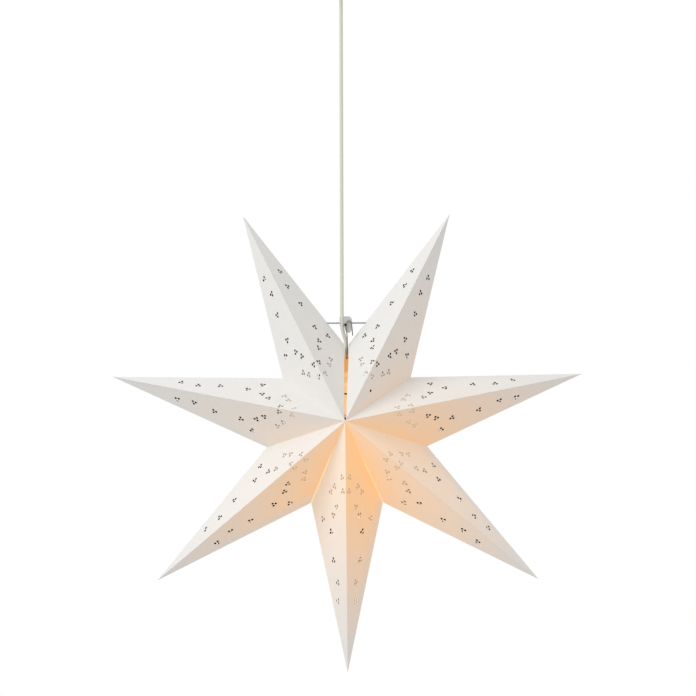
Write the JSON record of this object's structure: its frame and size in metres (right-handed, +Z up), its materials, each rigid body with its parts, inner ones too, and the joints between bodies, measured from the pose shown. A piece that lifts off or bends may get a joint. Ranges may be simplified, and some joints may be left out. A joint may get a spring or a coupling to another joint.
{
  "type": "star pendant",
  "caption": "Hanging star lantern of folded perforated paper, lit by a bulb on a cord from a cup-shaped ceiling canopy.",
  "frame": {"origin": "ceiling plane on the axis of the cord, midway between the two mounting slots", "axes": "+Z up, +X along the mounting slots and across the star, -Y towards the star's front"},
  "size_m": [0.585, 0.17, 0.92],
  "materials": {
    "star_paper": "matt white paper, lit warm from inside",
    "stud_metal": "dark painted stud",
    "bar_steel": "pale grey coated wire",
    "clip_plastic": "grey moulded plastic",
    "string": "grey cotton string",
    "cord_sheath": "pale flexible sheath",
    "holder_plastic": "white moulded plastic",
    "insert_ceramic": "cream insulating insert",
    "sleeve_brass": "plain brass",
    "core_brown": "brown core",
    "core_blue": "blue core",
    "bulb_glass": "clear glass",
    "shell_metal": "plated shell",
    "insulator_black": "black glassy insulator",
    "stem_glass": "clear glass stem",
    "filament": "warm glowing filament",
    "wire_metal": "thin support wires",
    "canopy_plastic": "white moulded plastic",
    "bracket_steel": "zinc plated strip",
    "clamp_plastic": "pale moulded plastic",
    "block_plastic": "pale moulded plastic",
    "screw_steel": "plated screw"
  },
  "bodies": {
    "ceiling": {"ceiling_bracket": "bracket_steel", "cord_clamp": "clamp_plastic", "clamp_screw": "screw_steel", "terminal_block": "block_plastic", "block_screw": "screw_steel", "terminal_screws": "sleeve_brass", "conductor_brown": "core_brown", "conductor_blue": "core_blue"},
    "canopy": {"canopy_cup": "canopy_plastic", "canopy_collar": "canopy_plastic", "collar_lock_screw": "screw_steel"},
    "pendant": {"supply_cord": "cord_sheath", "cord_clip": "clip_plastic", "hanging_bar": "bar_steel", "tie_string": "string", "holder_cap": "holder_plastic", "holder_skirt": "holder_plastic", "holder_insert": "insert_ceramic", "threaded_sleeve": "sleeve_brass", "centre_contact": "sleeve_brass", "holder_core_brown": "core_brown", "holder_core_blue": "core_blue"},
    "bulb": {"bulb_glass": "bulb_glass", "bulb_screw_shell": "shell_metal", "bulb_insulator": "insulator_black", "bulb_contact": "shell_metal", "bulb_stem": "stem_glass", "bulb_filaments": "filament", "filament_wires": "wire_metal"},
    "star": {"star_point_top_right": "star_paper", "star_point_right": "star_paper", "star_point_lower_right": "star_paper", "star_point_bottom": "star_paper", "star_point_lower_left": "star_paper", "star_point_left": "star_paper", "star_point_top_left": "star_paper", "slit_studs": "stud_metal"}
  },
  "joints": [
    {"name": "canopy_slide", "type": "slide", "parent": "ceiling", "child": "canopy", "axis": [0, 0, 1], "range_m": [-0.06, 0]},
    {"name": "pendant_turn", "type": "hinge", "parent": "ceiling", "child": "pendant", "pos_m": [0, 0, -0.067], "axis": [0, 0, 1], "range_deg": [-180, 180]},
    {"name": "star_tilt", "type": "hinge", "parent": "pendant", "child": "star", "pos_m": [0.0055, 0.0042, -0.4874], "axis": [1, 0, 0], "range_deg": [-10, 10]},
    {"name": "bulb_unscrew", "type": "slide", "parent": "pendant", "child": "bulb", "axis": [0, 0, -1], "range_m": [0, 0.02]}
  ]
}
